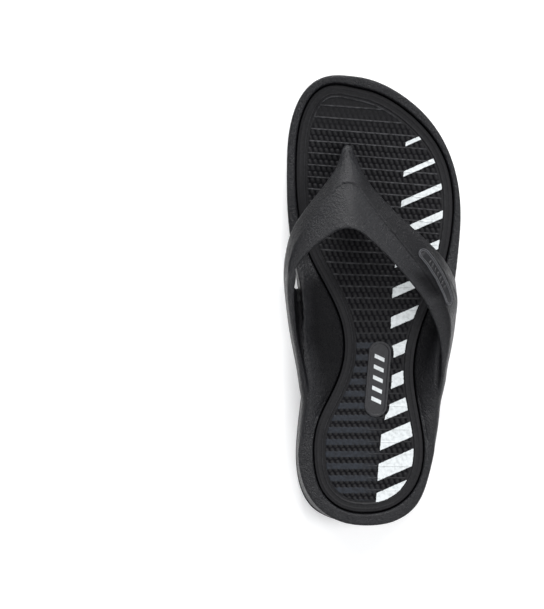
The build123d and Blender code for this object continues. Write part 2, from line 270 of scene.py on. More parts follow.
def snap(field, points, fields):
    """Moves points onto the line where two surfaces cross."""
    for _ in range(SNAP_ROUNDS):
        gradients = [field.slope(values, points) for values in fields]
        errors = [field.sample(values, points) for values in fields]
        a = np.einsum("ij,ij->i", gradients[0], gradients[0])
        b = np.einsum("ij,ij->i", gradients[0], gradients[1])
        c = np.einsum("ij,ij->i", gradients[1], gradients[1])
        spread = np.maximum(a * c - b * b, SNAP_SPREAD * a * c)
        first = (c * errors[0] - b * errors[1]) / spread
        second = (a * errors[1] - b * errors[0]) / spread
        move = first[:, None] * gradients[0] + second[:, None] * gradients[1]
        length = np.maximum(np.linalg.norm(move, axis=1, keepdims=True), TINY)
        points = points - move * np.minimum(1.0, SNAP_LONGEST * field.voxel / length)
    return points


def moulded_piece(name, field, skin, parting):
    """One side of the parting, with a clean edge where the parting meets the skin."""
    points, faces = voxel_surface(field, np.maximum(skin, parting))
    on_skin = field.sample(skin, points)
    on_parting = field.sample(parting, points)
    reach = SEAM_SNAP * field.voxel
    edge = (on_skin > -reach) & (on_parting > -reach)
    points[edge] = snap(field, points[edge], (skin, parting))
    outside = edge | (on_skin > on_parting)
    normals = np.where(outside[:, None], field.slope(skin, points), field.slope(parting, points))
    normals /= np.maximum(np.linalg.norm(normals, axis=1, keepdims=True), TINY)
    piece = make_object(name, points, faces)
    piece.data.normals_split_custom_set_from_vertices(normals.tolist())
    # Painted shade: darker colour and less specular in the hollows and on the strap's front facets.
    shade = np.maximum(hollow_share(points, normals), FACET_SHADE * facet_share(points))
    mark(piece, "hollow_shade", shade)
    return piece


# The strap's crest seen from above, from the inner arm over the toe post to the outer arm.
CREST_LINE = ((-53.0, 12.5), (-51.8, 23.5), (-48.2, 34.5), (-41.6, 44.3), (-34.2, 54.1), (-27.5, 64.0),
              (-22.6, 69.6), (-19.0, 72.0), (-15.8, 72.6), (-12.4, 72.0), (-8.6, 68.8), (-4.5, 62.9),
              (2.2, 54.0), (10.2, 43.8), (18.8, 33.5), (27.5, 22.6), (35.6, 11.2), (42.6, -0.3))
CREST_STEP = 0.85  # the panel behind the crest lies this much lower
CREST_RISE = (-0.3, 0.7)  # distance behind the crest over which it drops
CREST_FADE = (3.0, 13.0)  # and over which it comes back up
CREST_ENDS = 8.0  # length over which the step starts and ends
CREST_SKIN = 3.0  # how far from the surface the field is changed
CREST_FLOOR = 36.0  # only the strap is higher than this
CREST_FLOOR_FADE = 4.0
CREST_MIDDLE = -15.8  # X of the toe post
FACET_NOSE = (4.0, 11.0)  # distance from the toe post over which the facets begin
FACET_FRONT = 1.2
FACET_ENDS = 12.0
FACET_FLOOR_FADE = 5.0


def off_ends(run, total, fade):
    """0 at both ends of a line and 1 from a fade's length in."""
    return smoothstep(0.0, fade, run) * smoothstep(0.0, fade, total - run)


def step_behind_crest(field, skin):
    """Lets the strap's rear panel in a little, so that its crest stays a clear line."""
    places = np.argwhere(np.abs(skin) < CREST_SKIN)
    points = places * field.voxel + field.low
    high = points[:, 2] > CREST_FLOOR
    places, points = places[high], points[high]
    _, run, side, total = along_line(CREST_LINE, points[:, :2])
    depth = CREST_STEP * smoothstep(*CREST_RISE, -side) * (1.0 - smoothstep(*CREST_FADE, -side))
    depth *= off_ends(run, total, CREST_ENDS)
    depth *= smoothstep(CREST_FLOOR, CREST_FLOOR + CREST_FLOOR_FADE, points[:, 2])
    stepped = skin.copy()
    stepped[tuple(places.T)] += depth
    return stepped


def soften_wing_roots(field, skin):
    """Runs the wings and hollows smoothly out into the rim, beside the footbed's seat."""
    x = field.low[0] + field.voxel * np.arange(field.shape[0])
    y = field.low[1] + field.voxel * np.arange(field.shape[1])
    rows = np.flatnonzero((y > ROOT_RANGE[0]) & (y < ROOT_RANGE[1]))
    plan_x, plan_y = np.meshgrid(x, y[rows], indexing="ij")
    bed = Rows("footbed", ROOT_ROWS)
    beside_left = np.interp(plan_y, bed.y, bed.left) - plan_x
    beside_right = plan_x - np.interp(plan_y, bed.y, bed.right)
    beside = np.maximum(beside_left, beside_right)
    middle, half = 0.5 * sum(ROOT_RANGE), 0.5 * (ROOT_RANGE[1] - ROOT_RANGE[0])
    share = smoothstep(half, ROOT_FULL * half, np.abs(plan_y - middle)) * smoothstep(*ROOT_BESIDE, beside)
    height = field.low[2] + field.voxel * np.arange(field.shape[2])
    share = share[:, :, None] * smoothstep(*ROOT_FLOOR, height)[None, None, :]
    part = skin[:, rows, :]
    soft = blur(part, ROOT_BLUR, field.voxel)
    result = skin.copy()
    result[:, rows, :] = part + (soft - part) * share
    return result


def facet_share(points):
    """1 on the smooth facets in front of the strap's crest, away from its nose, which get part of the
    hollows' painted shade.
    """
    _, run, side, total = along_line(CREST_LINE, points[:, :2])
    ahead = smoothstep(0.0, FACET_FRONT, side)
    ahead *= smoothstep(*FACET_NOSE, np.abs(points[:, 0] - CREST_MIDDLE))
    ahead *= off_ends(run, total, FACET_ENDS)
    return ahead * smoothstep(CREST_FLOOR, CREST_FLOOR + FACET_FLOOR_FADE, points[:, 2])


def hollow_share(points, normals):
    """1 in the hollows between the wings and the footbed, which get painted shade."""
    low, high = HOLLOW_RANGE
    lengthwise = np.arange(low - HOLLOW_SPARE, high + HOLLOW_SPARE, 1.0)
    slot = np.clip(np.searchsorted(lengthwise, points[:, 1]), 0, len(lengthwise) - 1)
    crest = np.zeros((len(lengthwise), 2))
    outer = (points[:, 0] > 0).astype(int)
    np.maximum.at(crest, (slot, outer), points[:, 2])
    below = smoothstep(*HOLLOW_DROP, crest[slot, outer] - points[:, 2])
    along = smoothstep(low, low + HOLLOW_FADE[0], points[:, 1])
    along *= smoothstep(high, high - HOLLOW_FADE[1], points[:, 1])
    facing = -np.sign(points[:, 0]) * normals[:, 0] + HOLLOW_RISE * normals[:, 2]
    inward = smoothstep(*HOLLOW_TURN, facing)
    return below * along * inward * (normals[:, 2] > HOLLOW_UNDERSIDE)


def foam_field():
    low, high = (np.array(corner) / MM for corner in CAD_BOX)
    return Field(low, high, VOXEL)


def foam_skin(field):
    """The outer skin of strap and sole, and the parting between the two."""
    strap = np.minimum(field.from_mesh(*weld(*node_mesh("strap"))),
                       field.from_mesh(*weld(*node_mesh("strap_badge"))))
    sole = field.from_mesh(*weld(*node_mesh("midsole")))
    skin = field.redistance(np.minimum(strap, sole), CREVICE) + CREVICE
    skin = field.redistance(skin, -EDGE_ROUND) - EDGE_ROUND
    skin = step_behind_crest(field, blur(skin, SKIN_BLUR, VOXEL))
    skin = soften_wing_roots(field, skin)
    return skin, blur(0.5 * (strap - sole), PARTING_BLUR, VOXEL)


# ---- sheets drawn over rows

EDGE_STEPS = (0.0, 0.12, 0.3, 0.55, 0.85, 1.2, 1.6)  # columns beside an edge
EDGE_MOST = 0.4  # of the width that these columns may take
ROWS_SPARE = 1.15  # more rows than the even spacing needs
ROWS_PACKED = 0.35  # share of the spacing that tightens towards both ends
ROWS_INSET = 0.02  # from a node's end to its first row
CAST_CLEAR = 5.0  # height over the node from which rays start
OUTLINE_STEP = 0.3


class Rows:
    """Lines across a node from its left to its right edge, packed closer at both ends."""

    def __init__(self, name, spacing):
        points, triangles = node_mesh(name)
        self.tree = BVHTree.FromPolygons(points.tolist(), triangles.tolist())
        self.low, self.high = points.min(axis=0), points.max(axis=0)
        length = self.high[1] - self.low[1]
        count = int(length / spacing * ROWS_SPARE)
        turn = np.linspace(0.0, math.pi, count)
        even = np.linspace(0.0, 1.0, count)
        share = ROWS_PACKED * 0.5 * (1.0 - np.cos(turn)) + (1.0 - ROWS_PACKED) * even
        self.y = self.low[1] + ROWS_INSET + (length - 2 * ROWS_INSET) * share
        corners = points[triangles]
        starts = corners.reshape(-1, 3)
        stops = np.roll(corners, -1, axis=1).reshape(-1, 3)
        self.left = np.empty(count)
        self.right = np.empty(count)
        for row, y in enumerate(self.y):
            crossing = (starts[:, 1] - y) * (stops[:, 1] - y) <= 0
            a, b = starts[crossing], stops[crossing]
            rise = b[:, 1] - a[:, 1]
            part = (y - a[:, 1]) / np.where(np.abs(rise) < TINY, 1.0, rise)
            x = a[:, 0] + np.clip(part, 0.0, 1.0) * (b - a)[:, 0]
            self.left[row], self.right[row] = x.min(), x.max()

    def outline(self):
        """Closed outline, along the left edge and back along the right one."""
        left = np.stack([self.left, self.y], axis=1)
        right = np.stack([self.right, self.y], axis=1)[::-1]
        return np.concatenate([left, right])

    def grid(self, spacing):
        """x of every row's columns, closer at the edges."""
        steps = np.array(EDGE_STEPS)
        width = (self.right - self.left)[:, None]
        columns = int((width.max() - 2 * steps[-1]) / spacing)
        reach = np.minimum(steps[-1], EDGE_MOST * width)
        near = steps[None, :] / steps[-1] * reach
        middle = np.linspace(0.0, 1.0, columns + 1)[None, 1:-1] * (width - 2 * reach) + reach
        offsets = np.concatenate([near, middle, width - near[:, ::-1]], axis=1)
        return self.left[:, None] + offsets

    def level(self, down, shares):
        """Height of the node in each row: the highest of several casts, from above or from below."""
        heights = []
        start = self.high[2] + CAST_CLEAR if down else self.low[2] - CAST_CLEAR
        way = Vector((0, 0, -1 if down else 1))
        for row, y in enumerate(self.y):
            found = []
            for share in shares:
                x = self.left[row] + share * (self.right[row] - self.left[row])
                hit = self.tree.ray_cast(Vector((x, y, start)), way)[0]
                if hit is not None:
                    found.append(hit.z)
            heights.append(max(found) if found else np.nan)
        heights = np.array(heights)
        known = ~np.isnan(heights)
        return np.interp(self.y, self.y[known], heights[known])


def walk_round(outline):
    """The length of a closed outline, and a function that gives its points at distances along it."""
    closed = np.concatenate([outline, outline[:1]])
    walked = np.concatenate([[0.0], np.cumsum(np.linalg.norm(np.diff(closed, axis=0), axis=1))])

    def points_at(places):
        return np.stack([np.interp(places, walked, closed[:, axis]) for axis in range(2)], axis=1)

    return walked[-1], points_at


def edge_distance(outline, x, y):
    """Distance from each place to the outline."""
    length, points_at = walk_round(outline)
    dots = points_at(np.arange(0.0, length, OUTLINE_STEP))
    tree = KDTree(len(dots))
    for number, dot in enumerate(dots):
        tree.insert((dot[0], dot[1], 0.0), number)
    tree.balance()
    flat = [tree.find((px, py, 0.0))[2] for px, py in zip(np.ravel(x), np.ravel(y))]
    return np.array(flat).reshape(np.shape(x))


def slab(x, y, top, bottom):
    """A closed slab: a fine side over rows and columns, and a plain side of one strip per row."""
    rows, columns = x.shape
    fine = np.stack([x, y, top], axis=2).reshape(-1, 3)
    ring = list(range(columns))
    ring += [row * columns + columns - 1 for row in range(1, rows)]
    ring += [(rows - 1) * columns + column for column in range(columns - 2, -1, -1)]
    ring += [row * columns for row in range(rows - 2, 0, -1)]
    ring = np.array(ring)
    plain = fine[ring].copy()
    plain[:, 2] = bottom.reshape(-1)[ring]
    base = len(fine)
    across, up = np.meshgrid(np.arange(columns - 1), np.arange(rows - 1))
    corner = (up * columns + across).reshape(-1)
    quads = np.stack([corner, corner + 1, corner + columns + 1, corner + columns], axis=1)
    here = np.arange(len(ring))
    after = (here + 1) % len(ring)
    wall = np.stack([ring[here], base + here, base + after, ring[after]], axis=1)

    def left(row):
        return base + (len(ring) - row) % len(ring)

    def right(row):
        return base + columns - 1 + row

    strips = [[left(row), left(row + 1), right(row + 1), right(row)] for row in range(rows - 1)]
    first = [base + column for column in range(columns)]
    last = [right(rows - 1) + column for column in range(columns)]
    strips[0] = [left(1), right(1)] + first[::-1]
    strips[-1] = [left(rows - 2)] + last[::-1] + [right(rows - 2)]
    return np.concatenate([fine, plain]), quads.tolist() + wall.tolist() + strips


# ---- footbed

FOOTBED_SPACING = 0.4
FOOTBED_GROW = 0.5  # how far the insert reaches into the CAD groove
FOOTBED_TOP_SHARES = (0.3, 0.5, 0.62, 0.8)  # of the width, where its height is read
FOOTBED_BOTTOM_SHARES = (0.5, 0.62, 0.8)
BORDER = 6.6  # smooth border inside the groove
# Distance in from the rim, depth and half width of each line along the border.
BORDER_LINES = ((1.9, -0.22, 0.45), (4.9, -0.3, 0.4), (5.9, 0.35, 0.35))
BORDER_HEIGHT = 0.35
BORDER_STEP = 0.5  # half width of the border's inner edge
BORDER_EDGE = 0.45  # rounding of the footbed's rim
BORDER_SHINE = 0.3  # of a rib's painted highlight, along the middle border line
BORDER_SHINE_WIDTH = 0.35
PATTERN_START = (-0.1, 0.9)  # distance past the border over which the pattern rises
TOE_LEDGE = 0.75  # ridge along the border round the toe
TOE_LEDGE_FROM = (108.0, 122.0)
TOE_LEDGE_PLACE = 0.4  # distance past the border
TOE_LEDGE_WIDTH = 0.45
TOE_LEDGE_SHINE_WIDTH = 0.4
RIB_PITCH = 7.5
RIB_START = 122.0  # Y of the first rib
RIB_LEAN = 0.073  # slope of the ribs in front of the waist
RIB_LEAN_FROM = (-20.0, 50.0)
RIB_PIVOT = -39.0
RIB_HEIGHT = 0.85
RIB_WIDTH = 0.45
RIB_SHINE_WIDTH = 0.4
RIB_SHINE_HEEL = (20.0, -20.0)  # Y over which the painted rib highlight falls towards the heel
RIB_SHINE_LOSS = 0.75
VALLEY = (0.08, 0.5)  # heights over which painted shade darkens the pattern's hollows
VALLEY_TOE_LOSS = 0.8
WEAVE_PITCH = 3.5
WEAVE_HEIGHT = 0.7
WEAVE_SLANT = 0.25
WEAVE_FULLNESS = 0.6  # below 1 makes the cells fuller across
WEAVE_DOME = 0.5  # and along the sandal
WEAVE_TOE_LOSS = 0.85
TOE_SMOOTH = (100.0, 121.0)  # the weave dies out towards the toe
HEEL_BANDS_FROM = -20.0
HEEL_BANDS_FADE = 8.0
BAND_HALF = 2.2
BAND_SOFT = 0.3
BAND_WAVE = 0.6
BAND_HEIGHT = 0.5
BAND_INNER = (11.0, -7.0)  # distance from the footbed's middle over which the bands appear


def line_relief(distance, width):
    """1 on a line, falling off in a bell to both sides."""
    return np.exp(-(distance / width) ** 2)


def rounded_edge(inward, radius):
    """How far a rounded rim lies below its plain surface."""
    rounded = np.clip(1.0 - inward / radius, 0.0, 1.0)
    return radius * (1.0 - np.sqrt(1.0 - np.minimum(rounded ** 2, 1.0)))


class Footbed:
    def __init__(self):
        self.rows = Rows("footbed", FOOTBED_SPACING)
        self.rows.left -= FOOTBED_GROW
        self.rows.right += FOOTBED_GROW
        self.top = self.rows.level(True, FOOTBED_TOP_SHARES)
        self.bottom = self.rows.level(False, FOOTBED_BOTTOM_SHARES)
        self.outline = self.rows.outline()

    def off_rib(self, x, y):
        """Distance from the nearest rib, and the place between ribs."""
        lean = RIB_LEAN * smoothstep(*RIB_LEAN_FROM, y)
        phase = (y + lean * (x - RIB_PIVOT) - RIB_START) / RIB_PITCH
        return (phase - np.round(phase)) * RIB_PITCH, phase

    def weave(self, x, phase):
        """Rounded cells in two offset rows between every two ribs."""
        half_rows = phase * 2.0
        lower = np.floor(half_rows)
        across = x / WEAVE_PITCH + 0.5 * lower + WEAVE_SLANT * (half_rows - lower)
        over = 0.5 + 0.5 * np.cos(2 * math.pi * across)
        dome = np.sin(math.pi * (half_rows - lower)) ** WEAVE_DOME
        return WEAVE_HEIGHT * (over ** WEAVE_FULLNESS * dome)

    def band_share(self, x, y):
        """1 on the heel's smooth bands, which fade out on the outer half."""
        phase = (y - RIB_START) / RIB_PITCH
        wave = BAND_WAVE * np.abs(np.sin(math.pi * x / WEAVE_PITCH))
        off = np.abs(phase - np.round(phase)) * RIB_PITCH + wave
        flat = smoothstep(BAND_HALF + BAND_SOFT, BAND_HALF - BAND_SOFT, off)
        middle = np.interp(y, self.rows.y, 0.5 * (self.rows.left + self.rows.right))
        inner = smoothstep(*BAND_INNER, x - middle)
        return flat * smoothstep(HEEL_BANDS_FROM, HEEL_BANDS_FROM - HEEL_BANDS_FADE, y) * inner

    def relief(self, x, y, inward):
        """Height of the moulded pattern over the plain surface."""
        off_rib, phase = self.off_rib(x, y)
        weave = self.weave(x, phase) * (1.0 - WEAVE_TOE_LOSS * smoothstep(*TOE_SMOOTH, y))
        pattern = np.maximum(weave, RIB_HEIGHT * line_relief(off_rib, RIB_WIDTH))
        bands = self.band_share(x, y)
        pattern = pattern * (1 - bands) + BAND_HEIGHT * bands
        past_border = inward - BORDER
        shape = pattern * smoothstep(*PATTERN_START, past_border)
        shape += BORDER_HEIGHT * (1.0 - smoothstep(-BORDER_STEP, BORDER_STEP, past_border))
        ledge = line_relief(past_border - TOE_LEDGE_PLACE, TOE_LEDGE_WIDTH)
        shape += TOE_LEDGE * smoothstep(*TOE_LEDGE_FROM, y) * ledge
        for place, depth, half in BORDER_LINES:
            shape -= depth * line_relief(inward - place, half)
        return shape - rounded_edge(inward, BORDER_EDGE)

    def height(self, x, y):
        inward = edge_distance(self.outline, x, y)
        return np.interp(y, self.rows.y, self.top) + self.relief(x, y, inward)

    def shade(self, piece, points):
        """Marks the heel's bands, which get a painted sheen, the pattern's hollows, which get painted
        shade, and the painted highlights on the ridges.
        """
        x, y, z = points.T
        inward = edge_distance(self.outline, x, y)
        inside = smoothstep(BORDER, BORDER + PATTERN_START[1], inward)
        # The heel's bands get a painted sheen; their relief is modelled.
        bands = self.band_share(x, y) * inside
        # Painted shade in the pattern's hollows.
        deep = smoothstep(*VALLEY[::-1], z - np.interp(y, self.rows.y, self.top))
        valley = inside * (1 - bands) * deep
        valley *= 1.0 - VALLEY_TOE_LOSS * smoothstep(*TOE_SMOOTH, y)
        # Painted highlights on the ribs, the toe ledge's crest and the middle border line.
        ribs = line_relief(self.off_rib(x, y)[0], RIB_SHINE_WIDTH) * inside * (1 - bands)
        ribs *= 1.0 - RIB_SHINE_LOSS * smoothstep(*RIB_SHINE_HEEL, y)
        ledge = line_relief(inward - BORDER - TOE_LEDGE_PLACE, TOE_LEDGE_SHINE_WIDTH)
        ribs = np.maximum(ribs, smoothstep(*TOE_LEDGE_FROM, y) * ledge)
        border = line_relief(inward - BORDER_LINES[1][0], BORDER_SHINE_WIDTH)
        ribs = np.maximum(ribs, BORDER_SHINE * border)
        mark(piece, "bands", bands)
        mark(piece, "valley", valley)
        mark(piece, "ribs", ribs)

    def build(self):
        x = self.rows.grid(FOOTBED_SPACING)
        y = np.repeat(self.rows.y[:, None], x.shape[1], axis=1)
        bottom = np.repeat(self.bottom[:, None], x.shape[1], axis=1)
        points, faces = slab(x, y, self.height(x, y), bottom)
        piece = make_object("footbed_insert", points, faces)
        self.shade(piece, points)
        return piece


# ---- white film

FILM_PROUD = 0.1
FILM_REST = 0.5  # the film bridges the pattern's hollows at this height
FILM_SAG = 0.2  # share of the pattern that still shows where it does
FILM_DEPTH = 0.9
FILM_GRAIN = 0.45  # spacing of its points
FILM_RIM_STEP = 0.6
FILM_RIM_CLEAR = 0.5  # from the rim to the first inner point
FILM_RAGGED = 0.07  # unevenness of its edge
FILM_MERGE = 1e-5
FILM_SHARP = 50  # degrees
LOOKS_UP = 0.8


def top_outline(points, triangles):
    """The boundary of the faces that look up, as an ordered loop."""
    a, b, c = (points[triangles[:, corner]] for corner in range(3))
    normal = np.cross(b - a, c - a)
    rising = normal[:, 2] > LOOKS_UP * np.linalg.norm(normal, axis=1)
    edges = set()
    for i, j, k in triangles[rising].tolist():
        for edge in ((i, j), (j, k), (k, i)):
            if edge[::-1] in edges:
                edges.remove(edge[::-1])
            else:
                edges.add(edge)
    following = dict(edges)
    start = min(following)
    loop = [start]
    while following[loop[-1]] != start:
        loop.append(following[loop[-1]])
    return points[loop]


def film(name, bed, chance):
    """One printed stripe, draped over the footbed's pattern."""
    length, points_at = walk_round(top_outline(*weld(*node_mesh(name)))[:, :2])
    rim = points_at(np.linspace(0.0, length, int(length / FILM_RIM_STEP), endpoint=False))
    rim += chance.normal(0.0, FILM_RAGGED, rim.shape)
    low, high = rim.min(axis=0), rim.max(axis=0)
    across, along = (np.arange(low[axis], high[axis], FILM_GRAIN) for axis in range(2))
    inner = np.stack([line.reshape(-1) for line in np.meshgrid(across, along)], axis=1)
    inner = inner[edge_distance(rim, inner[:, 0], inner[:, 1]) > FILM_RIM_CLEAR]
    places = [Vector(p) for p in np.concatenate([rim, inner]).tolist()]
    edges = [(i, (i + 1) % len(rim)) for i in range(len(rim))]
    inside_only = 1
    flat, _, faces = mathutils.geometry.delaunay_2d_cdt(places, edges, [], inside_only, FILM_MERGE)[:3]
    plane = np.array([(p.x, p.y) for p in flat])
    plain = np.interp(plane[:, 1], bed.rows.y, bed.top)
    relief = bed.height(plane[:, 0], plane[:, 1]) - plain
    level = plain + np.maximum(relief, FILM_REST + FILM_SAG * relief)
    top = np.column_stack([plane, level + FILM_PROUD])
    under = np.column_stack([plane, level - FILM_DEPTH])
    count = len(plane)
    sides = dict.fromkeys(side for face in faces for side in zip(face, list(face[1:]) + [face[0]]))
    rims = [side for side in sides if side[::-1] not in sides]
    solid = [list(face) for face in faces]
    solid += [[corner + count for corner in reversed(face)] for face in faces]
    solid += [[after, here, here + count, after + count] for here, after in rims]
    return make_object(name + "_print", np.concatenate([top, under]), solid, sharp_angle=FILM_SHARP)


# ---- badges

BADGE_VOXEL = 0.16
BADGE_SOFTEN = 0.12
MOTIF_VOXEL = 0.1
MOTIF_SOFTEN = 0.08


def softened(name, voxel, radius, label):
    """A CAD node with its edges lightly rounded."""
    points, triangles = weld(*node_mesh(name))
    field = Field(points.min(axis=0), points.max(axis=0), voxel)
    values = blur(field.from_mesh(points, triangles), radius, voxel)
    surface, quads = field.surface(values)
    return make_object(label, surface, outward(surface, quads))


# The pad's middle, seen from above, from the toe end to the heel end.
OVAL_LINE = ((29.8, 30.0), (35.1, 23.6), (40.8, 14.7), (45.2, 5.1), (47.2, -1.0))
OVAL_STEPS = 17
OVAL_VOXEL = 0.17
OVAL_ROOM = 2.0
OVAL_HALF = 3.7
OVAL_SKIRT = 0.8  # depth under the strap's surface
OVAL_NEAR = 1.6
OVAL_BLUR = 0.1
OVAL_LINES = ((3.3, 0.3, 0.55), (2.35, 0.22, 0.4))  # place, half width, height
OVAL_BASE = 0.12
FAR_OUTSIDE = 1.0
MARK_PITCH = 3.1
MARK_LEAN = 0.5
MARK_HALF = 1.3  # half the marks' length, across the pad
MARK_WIDTH = 0.6
MARK_HEIGHT = 0.45
MARK_ENDS = 6.0  # no marks nearer than this to the pad's ends


def along_line(line, points):
    """Distance from a bent line, distance along it and signed side for each point, and its length."""
    line = np.array(line)
    best = np.full(len(points), np.inf)
    run = np.zeros(len(points))
    side = np.zeros(len(points))
    walked = 0.0
    for start, stop in zip(line[:-1], line[1:]):
        way = stop - start
        length = np.linalg.norm(way)
        part = np.clip((points - start) @ way / length ** 2, 0.0, 1.0)
        gap = points - (start + part[:, None] * way)
        distance = np.linalg.norm(gap, axis=1)
        nearer = distance < best
        best = np.where(nearer, distance, best)
        run = np.where(nearer, walked + part * length, run)
        turn = way[0] * gap[:, 1] - way[1] * gap[:, 0]
        side = np.where(nearer, np.sign(turn) * distance, side)
        walked += length
    return best, run, side, walked


def ridge(distance, half):
    """1 on a line with a flat top, falling off steeply beside it."""
    return np.exp(-(distance / half) ** 4)


def line_on_node(plan, steps, points, triangles):
    """A bent line drawn from above on a node."""
    plan = np.array(plan)
    turns = np.linspace(0, len(plan) - 1, steps)
    tree = BVHTree.FromPolygons(points.tolist(), triangles.tolist())
    line = []
    for x, y in zip(*(np.interp(turns, np.arange(len(plan)), plan[:, axis]) for axis in range(2))):
        hit = tree.ray_cast(Vector((x, y, points[:, 2].max() + CAST_CLEAR)), Vector((0, 0, -1)))[0]
        if hit is not None:
            line.append((x, y, hit.z))
    return np.array(line)


def strap_badge_relief(gap, run, side, total):
    """Height of the pad's double outline and of its plain leaning marks."""
    height = np.full(len(gap), OVAL_BASE)
    for place, half, rise in OVAL_LINES:
        height += rise * ridge(gap - place, half)
    leaning = (run + MARK_LEAN * side) / MARK_PITCH
    off_mark = np.abs(leaning - np.round(leaning)) * MARK_PITCH
    inside = (np.abs(side) < MARK_HALF) & (run > MARK_ENDS) & (run < total - MARK_ENDS)
    return height + MARK_HEIGHT * ridge(off_mark, MARK_WIDTH) * inside


def strap_badge(foam, skin):
    """An oblong pad that follows the strap's skin."""
    points, triangles = weld(*node_mesh("strap_badge"))
    line = line_on_node(OVAL_LINE, OVAL_STEPS, points, triangles)
    low = points.min(axis=0) + PAD - OVAL_ROOM
    high = points.max(axis=0) - PAD + OVAL_ROOM
    field = Field(low, high, OVAL_VOXEL)
    axes = [field.low[axis] + field.voxel * np.arange(field.shape[axis]) for axis in range(3)]
    cells = np.stack(np.meshgrid(*axes, indexing="ij"), axis=-1).reshape(-1, 3)
    surface = foam.sample(skin, cells)
    values = np.full(len(cells), FAR_OUTSIDE)
    near = np.abs(surface) < OVAL_NEAR
    gap, run, side, total = along_line(line, cells[near])
    height = strap_badge_relief(gap, run, side, total)
    shape = np.maximum(surface[near] - height, -(surface[near] + OVAL_SKIRT))
    values[near] = np.maximum(shape, gap - OVAL_HALF)
    values = values.reshape(field.shape).astype(np.float32)
    values = blur(values, OVAL_BLUR, field.voxel)
    points, faces = voxel_surface(field, values)
    piece = make_object("strap_badge_pad", points, faces)
    gap = along_line(line, points)[0]
    # Marks the raised outlines for their painted highlight.
    mark(piece, "lines", sum(ridge(gap - place, half) for place, half, _ in OVAL_LINES))
    return piece


# ---- outsole

OUTSOLE_SPACING = 0.55
OUTSOLE_EDGE = 0.9  # rounding of its lower rim
OUTSOLE_PLATE_SHARES = np.linspace(0.03, 0.97, 23)  # of the width, where the plate's height is read
OUTSOLE_TOP_SHARES = (0.3, 0.5, 0.7)
OUTSOLE_SHARP = 35  # degrees
CONTOUR_PITCH = 2.5
CONTOUR_DEPTH = 0.75
CONTOUR_HALF = 0.5
CONTOUR_BORDER = 3.2  # plain rim outside the contour grooves
CONTOUR_START = 0.8
# The grooves run round one centre at the toe and another at the heel, and change over in the waist.
TOE_CENTRE = (-75.0, 15.0)
HEEL_CENTRE = (48.0, -35.0)
HEEL_START = 140.0
CONTOUR_CHANGE = (-70.0, 40.0)
RIM_LINE_PLACE = -0.6  # from the plain rim's inner edge
RIM_LINE_WIDTH = 0.35
PANEL_CENTRE = (-2.0, -16.0)
PANEL_HALF = (13.0, 21.0)
PANEL_CORNER = 4.0
PANEL_CLEAR = (0.2, 0.9)
PANEL_LINE_PLACE = 0.3
PANEL_LINE_WIDTH = 0.4
STUD_RING = 28  # corners round a stud
STUD_CHAMFER = 0.35
STUD_FLARE = 0.15
STUD_ROOT = 0.9  # depth of its foot inside the plate
STUD_DEEP = 0.8  # a corner this far under the plate belongs to a stud
STUD_SIZES = (2.3, 3.6)  # radii that a stud may have


def contours(x, y, inward):
    """Depth of the fine lines that run over the ground side like those of a map."""
    toe = np.hypot(x - TOE_CENTRE[0], y - TOE_CENTRE[1])
    heel = np.hypot(x - HEEL_CENTRE[0], y - HEEL_CENTRE[1])
    share = smoothstep(*CONTOUR_CHANGE, y)
    wave = 3.2 * np.sin(x / 15.0 + 0.6) * np.sin(y / 21.0) + 1.6 * np.sin(x / 8.0 - y / 13.0)
    phase = (share * toe + (1 - share) * (HEEL_START - heel) + wave) / CONTOUR_PITCH
    off = np.abs(phase - np.round(phase)) * CONTOUR_PITCH
    inside = smoothstep(CONTOUR_BORDER, CONTOUR_BORDER + CONTOUR_START, inward)
    line = line_relief(off, CONTOUR_HALF) * inside
    apart = [np.abs(v - c) - h + PANEL_CORNER for v, c, h in zip((x, y), PANEL_CENTRE, PANEL_HALF)]
    panel = np.hypot(*(np.maximum(gap, 0.0) for gap in apart)) - PANEL_CORNER
    line *= smoothstep(*PANEL_CLEAR, panel)
    panel_line = line_relief(panel - PANEL_LINE_PLACE, PANEL_LINE_WIDTH)
    rim_line = line_relief(inward - CONTOUR_BORDER - RIM_LINE_PLACE, RIM_LINE_WIDTH)
    return CONTOUR_DEPTH * np.maximum(line, np.minimum(panel_line + rim_line, 1.0))


def stud(x, y, radius, low, high):
    """A round stud with a chamfered tip, closed at both ends."""
    turn = np.linspace(0.0, 2 * math.pi, STUD_RING, endpoint=False)
    rings = ((radius + STUD_FLARE, high), (radius, low + STUD_CHAMFER), (radius - STUD_CHAMFER, low))
    points = [(x + r * math.cos(t), y + r * math.sin(t), z) for r, z in rings for t in turn]
    faces = [list(range(STUD_RING)), list(range(3 * STUD_RING - 1, 2 * STUD_RING - 1, -1))]
    for ring in range(2):
        for here in range(STUD_RING):
            after = (here + 1) % STUD_RING
            base = ring * STUD_RING
            faces.append([base + after, base + here, base + STUD_RING + here, base + STUD_RING + after])
    return points, faces


def stud_tips(rows, plate):
    """Middle, radius, and lowest and highest point of every stud tip of the CAD node."""
    points, triangles = weld(*node_mesh("outsole"))
    deep = np.interp(points[:, 1], rows.y, plate) - points[:, 2] > STUD_DEEP
    tips = triangles[deep[triangles].all(axis=1)]
    label = islands(len(points), tips)[tips[:, 0]]
    found = []
    for name in np.unique(label):
        part = points[np.unique(tips[label == name])]
        low, high = part.min(axis=0), part.max(axis=0)
        size = 0.5 * (high - low)[:2]
        found.append((*(0.5 * (low + high))[:2], 0.5 * size.sum(), low[2], high[2]))
    return [tip for tip in found if STUD_SIZES[0] < tip[2] < STUD_SIZES[1]]


